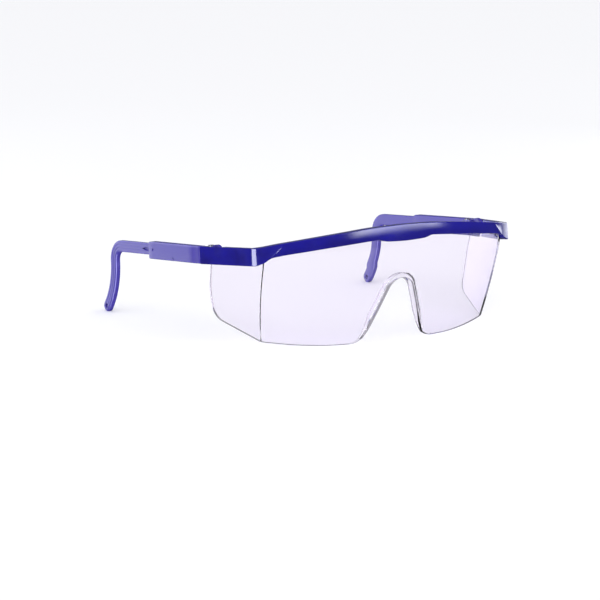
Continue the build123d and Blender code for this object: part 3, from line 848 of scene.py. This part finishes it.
class GLASSES_OT_sleeves(bpy.types.Operator):
    """Model the hollow front halves of the temples"""
    bl_idname = "glasses.sleeves"
    bl_label = "Temple Sleeves"

    def ring(self, y, low, high, radius=SLEEVE_ROUND):
        """A round-cornered section across the sleeve."""
        return [Vector((x, y, z)) for x, z in round_outline(low, high, radius)]

    def sections(self, lip):
        """Sections from the front edge back over the mouth and down the hollow."""
        (x0, y0, z0), (x1, y1, z1) = SLEEVE_LOW, SLEEVE_HIGH
        step_x, step_y = PIN.x + KNUCKLE_ROOM.x, PIN.y + KNUCKLE_ROOM.y
        facet_end, facet_x = y0 + FACET_LENGTH, x1 - FACET_DEPTH
        at_step = x1 - FACET_DEPTH * (facet_end - step_y) / FACET_LENGTH
        rings = [self.ring(y0 + back, (step_x + inside, z0 + rise), (facet_x - outside, z1 - rise), radius)
                 for back, inside, outside, rise, radius in SLEEVE_FRONT]
        rings.append(self.ring(step_y, (step_x, z0), (at_step, z1)))
        rings.append(self.ring(step_y + KNUCKLE_SLOPE, (x0, z0), (at_step, z1)))
        rings.append(self.ring(facet_end - FACET_BLEND, (x0, z0), (x1 - FACET_EASE, z1)))
        rings.append(self.ring(facet_end + FACET_BLEND, (x0, z0), (x1, z1)))
        for y in steps(facet_end, y1 - lip, 12)[1:]:
            rings.append(self.ring(y, (x0, z0), (x1, z1)))
        for turn in steps(0, math.pi / 2, 6)[1:]:
            inset, y = lip * (1 - math.cos(turn)), y1 - lip + lip * math.sin(turn)
            rings.append(self.ring(y, (x0 + inset, z0 + inset), (x1 - inset, z1 - inset)))
        for y, lead, radius in ((y1, MOUTH_LEAD, MOUTH_ROUND), (y1 - MOUTH_LEAD, 0, CAVITY_ROUND),
                                (CAVITY_START, 0, CAVITY_ROUND)):
            half_x = SLIDER_THICK / 2 + SLIDER_GAP + lead
            half_z = SLIDER_HEIGHT / 2 + SLIDER_GAP + lead
            rings.append(self.ring(y, (SLIDER_X - half_x, SLIDER_Z - half_z),
                                   (SLIDER_X + half_x, SLIDER_Z + half_z), radius))
        return rings

    def web(self):
        """The flat arm between knuckle and sleeve."""
        rear_y = SLEEVE_LOW.y + 3.4
        plan = [(PIN.x, PIN.y), (PIN.x + 2.5, PIN.y + 0.9), (SLEEVE_LOW.x + 3.0, rear_y),
                (SLEEVE_LOW.x + 0.1, rear_y), (PIN.x - 1.0, PIN.y + 1.5)]
        heights = (PIN.z - KNUCKLE_HEIGHT / 2, PIN.z + KNUCKLE_HEIGHT / 2)
        return loft("web", [[Vector((x, y, z)) for x, y in plan] for z in heights])

    def execute(self, context):
        piece = loft("temple_sleeve", self.sections(context.scene.glasses_sizes.sleeve_lip / MM))
        face_x = SLEEVE_HIGH.x
        cut(piece, peg(DIMPLE_RADIUS, 2 * DIMPLE_DEPTH, (face_x, DIMPLE_Y, SLIDER_Z)))
        cut(piece, peg(GATE_RADIUS, 2 * GATE_DEPTH, (face_x, GATE_Y, GATE_Z)))
        cut(piece, self.web(), "UNION")
        cut(piece, peg(KNUCKLE_RADIUS, KNUCKLE_HEIGHT, PIN, UPRIGHT, 48), "UNION")
        cut(piece, peg(PIN_HOLE_RADIUS, KNUCKLE_HEIGHT + 2, PIN, UPRIGHT))
        settle_pair(piece, "sleeve")
        return {"FINISHED"}


class GLASSES_OT_sliders(bpy.types.Operator):
    """Model the sliding rear halves of the temples with their ear hooks"""
    bl_idname = "glasses.sliders"
    bl_label = "Temple Sliders"

    def spine(self):
        """Stations along the slider: place (y, z) and the direction across the strip."""
        stations = [((y, SLIDER_Z), (0.0, 1.0)) for y in steps(SLIDER_START, BEND_START, 30)]
        down = Vector((BEND_START, SLIDER_Z - BEND_RADIUS))
        for turn in steps(0, math.pi / 2, 17)[1:]:
            across = Vector((math.sin(turn), math.cos(turn)))
            stations.append((tuple(down + across * BEND_RADIUS), tuple(across)))
        sweep_centre = down + Vector((BEND_RADIUS + SWEEP_RADIUS, 0))
        for turn in steps(0, SWEEP, 20)[1:]:
            across = Vector((math.cos(turn), math.sin(turn)))
            stations.append((tuple(sweep_centre - across * SWEEP_RADIUS), tuple(across)))
        return stations

    def section(self, place, across, half_height, half_thick, edge, rise, shrink=1.0):
        """A round-edged section with fine ribs on its outer face."""
        radius = min(edge, half_height - 0.02, half_thick - 0.02)
        ribs = [rib * shrink for rib in RIBS]
        offsets = [rib + side for rib in ribs for side in (RIB_FOOT, RIB_CREST, -RIB_CREST, -RIB_FOOT)]
        points = []
        for x, z in round_outline((-half_thick, -half_height), (half_thick, half_height), radius, 4, offsets):
            crest = x == -half_thick and any(abs(abs(z - rib) - RIB_CREST) < 1e-6 for rib in ribs)
            out = SLIDER_X - x + (rise if crest else 0.0)
            points.append(Vector((out, place[0] + across[0] * z, place[1] + across[1] * z)))
        return points

    def sections(self, edge, rise):
        """Sections from the front end, hidden in the sleeve, to the round tip of the hook."""
        half_thick, half_height = SLIDER_THICK / 2, SLIDER_HEIGHT / 2
        first, *rest = self.spine()
        sections = [self.section(*first, half_height - SLIDER_LEAD, half_thick - SLIDER_LEAD, edge, rise)]
        for place, across in [((SLIDER_START + SLIDER_LEAD, SLIDER_Z), first[1])] + rest:
            sections.append(self.section(place, across, half_height, half_thick, edge, rise))
        tip, across = Vector(rest[-1][0]), Vector(rest[-1][1])
        ahead = Vector((across.y, -across.x))
        for turn in steps(0, math.pi / 2, 12)[1:-1]:
            shrink = math.cos(turn)
            thinner = TIP_THIN * max(0.0, math.sin(turn) - TIP_THIN_FROM) / (1 - TIP_THIN_FROM)
            place = tip + ahead * half_height * math.sin(turn)
            sections.append(self.section(place, across, max(half_height * shrink, TIP_LEAST),
                                         half_thick - thinner, edge * shrink, rise, shrink))
        return sections

    def track(self):
        """The pointed track that is sunk in the outer face."""
        front, rear, half, depth, point = TRACK
        face = SLIDER_X + SLIDER_THICK / 2
        shoulder = rear - point
        outline = [(front, -half), (shoulder, -half), (rear + point, 0), (shoulder, half), (front, half)]
        levels = (face - depth, face + 2)
        return loft("track", [[Vector((x, y, SLIDER_Z + z)) for y, z in outline] for x in levels])

    def execute(self, context):
        sizes = context.scene.glasses_sizes
        piece = loft("temple_slider", self.sections(sizes.slider_edge / MM, sizes.rib_height / MM))
        cut(piece, self.track())
        cut(piece, peg(CORD_HOLE_RADIUS, 10, (SLIDER_X, *self.spine()[-1][0])))
        settle_pair(piece, "slider")
        return {"FINISHED"}


class GLASSES_OT_hinges(bpy.types.Operator):
    """Finish the tilting hinge blocks, their screws and their pins"""
    bl_idname = "glasses.hinges"
    bl_label = "Hinges"

    def execute(self, context):
        finishes = {"hinge_block": "blue_hinge", "tilt_screw": "turned_steel", "hinge_pin": "turned_steel"}
        for node, finish in finishes.items():
            for name in SIDES:
                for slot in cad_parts[f"{node}_{name}"].material_slots:
                    slot.material = finish_named(finish)
        return {"FINISHED"}


class GLASSES_OT_stage(bpy.types.Operator):
    """Lay the floor, hang the lamps and set up the camera"""
    bl_idname = "glasses.stage"
    bl_label = "Floor, Lamps and Camera"

    def execute(self, context):
        studio = context.scene.glasses_studio
        context.scene.view_settings.view_transform = "Standard"
        self.floor()
        self.room(context, studio)
        for name, turn, spread, low, high, glow in REFLECTORS:
            self.reflector(name, turn, spread, low, high, glow * studio.reflectors)
        for name, place, aim, width, height, share in LAMPS:
            self.lamp(name, place, aim, width, height, studio.key * share)
        bpy.ops.object.light_add(type="SUN", rotation=OVERHEAD_TURN)
        overhead = start("overhead_lamp")
        overhead.data.energy, overhead.data.angle = studio.overhead, OVERHEAD_SPREAD
        overhead.visible_glossy = False
        self.camera(context, studio)
        return {"FINISHED"}

    def floor(self):
        """A pale floor that the gloss doesn't mirror."""
        deselect()
        bpy.ops.mesh.primitive_plane_add(size=FLOOR_SIZE, location=(0, 0, 0))
        floor = start("studio_floor")
        floor.data.materials.append(finish_named("studio_floor"))
        floor.visible_glossy = False

    def room(self, context, studio):
        """White surroundings, darker in the gloss so that the plastic keeps its colour."""
        context.scene.world = bpy.data.worlds.new("white_room")
        room = Recipe(context.scene.world)
        mirrored, bent, seen = [room.node("LightPath", output=f"Is {ray} Ray")
                                for ray in ("Glossy", "Transmission", "Camera")]
        strength = studio.sky * (1 - mirrored * (MIRROR_DIM - LENS_LIFT * bent)) + BACKDROP_LIFT * seen
        room.show(room.node("Background", None, {"Color": ROOM_COLOUR, "Strength": strength}), "OutputWorld")

    def lamp(self, name, place, aim, width, height, power):
        """A square lamp, turned to its aim."""
        deselect()
        facing = (Vector(aim) - Vector(place)).to_track_quat("-Z", "Y").to_euler()
        bpy.ops.object.light_add(type="AREA", location=place, rotation=facing)
        lamp = start(name)
        lamp.data.shape, lamp.data.size, lamp.data.size_y = "RECTANGLE", width, height
        lamp.data.energy = power

    def reflector(self, name, turn, spread, low, high, glow):
        """A glowing card that only shows in gloss."""
        angle = math.radians(turn)
        out = Vector((-math.cos(angle), math.sin(angle), 0))
        place = out * REFLECTOR_REACH + Vector((0, 0, (low + high) / 2))
        deselect()
        bpy.ops.mesh.primitive_plane_add(size=1, location=place,
                                         rotation=(-out).to_track_quat("Z", "Y").to_euler())
        card = start(name)
        card.scale = (2 * REFLECTOR_REACH * math.tan(math.radians(spread / 2)), high - low, 1)
        card.data.materials.append(glowing_card(name, glow))
        for kind in ("camera", "diffuse", "transmission", "volume_scatter", "shadow"):
            setattr(card, "visible_" + kind, False)

    def camera(self, context, studio):
        """The camera, where it stands as the glasses are worn, turned to the table."""
        away = math.cos(CAMERA_RISE)
        back = Vector((math.sin(CAMERA_TURN) * away, -math.cos(CAMERA_TURN) * away, math.sin(CAMERA_RISE)))
        right = Vector((math.cos(CAMERA_TURN), math.sin(CAMERA_TURN), 0))
        up = back.cross(right)
        across = right * math.cos(CAMERA_ROLL) - up * math.sin(CAMERA_ROLL)
        upward = right * math.sin(CAMERA_ROLL) + up * math.cos(CAMERA_ROLL)
        turn = Matrix((across, upward, back)).transposed().to_4x4()
        bpy.ops.object.camera_add()
        camera = start("studio_camera")
        camera.matrix_world = (Matrix.Translation(STAND * MM) @ Matrix.Rotation(REST_TILT, 4, "X")
                               @ Matrix.Translation(CAMERA_PLACE * MM) @ turn)
        camera.data.lens, camera.data.sensor_width = studio.camera_lens, SENSOR_WIDTH
        camera.data.clip_end = FARTHEST
        context.scene.camera = camera


class GLASSES_PT_workshop(bpy.types.Panel):
    """Sizes, looks and the steps that build the glasses"""
    bl_idname = "GLASSES_PT_workshop"
    bl_label = "Safety Glasses"
    bl_space_type = "VIEW_3D"
    bl_region_type = "UI"
    bl_category = "Safety Glasses"

    def draw(self, context):
        layout = self.layout
        for group in (context.scene.glasses_sizes, context.scene.glasses_looks, context.scene.glasses_studio):
            box = layout.box()
            for name in group.__annotations__:
                box.prop(group, name)
        for step in STEPS:
            layout.operator(step.bl_idname)


STEPS = (GLASSES_OT_stage, GLASSES_OT_brow_frame, GLASSES_OT_lens, GLASSES_OT_sleeves, GLASSES_OT_sliders,
         GLASSES_OT_hinges)
SETTINGS = {"glasses_sizes": GlassesSizes, "glasses_looks": GlassesLooks, "glasses_studio": GlassesStudio}


def register():
    """Add the settings, the steps and the panel."""
    for group in SETTINGS.values():
        bpy.utils.register_class(group)
    for name, group in SETTINGS.items():
        setattr(bpy.types.Scene, name, PointerProperty(type=group))
    for kind in STEPS + (GLASSES_PT_workshop,):
        bpy.utils.register_class(kind)


def unregister():
    """Take them away again."""
    for kind in (GLASSES_PT_workshop,) + STEPS[::-1]:
        bpy.utils.unregister_class(kind)
    for name in SETTINGS:
        delattr(bpy.types.Scene, name)
    for group in SETTINGS.values():
        bpy.utils.unregister_class(group)


def main():
    """Build everything."""
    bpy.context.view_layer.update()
    register()
    for step in STEPS:
        area, name = step.bl_idname.split(".")
        getattr(getattr(bpy.ops, area), name)()


if __name__ == "__main__":
    main()
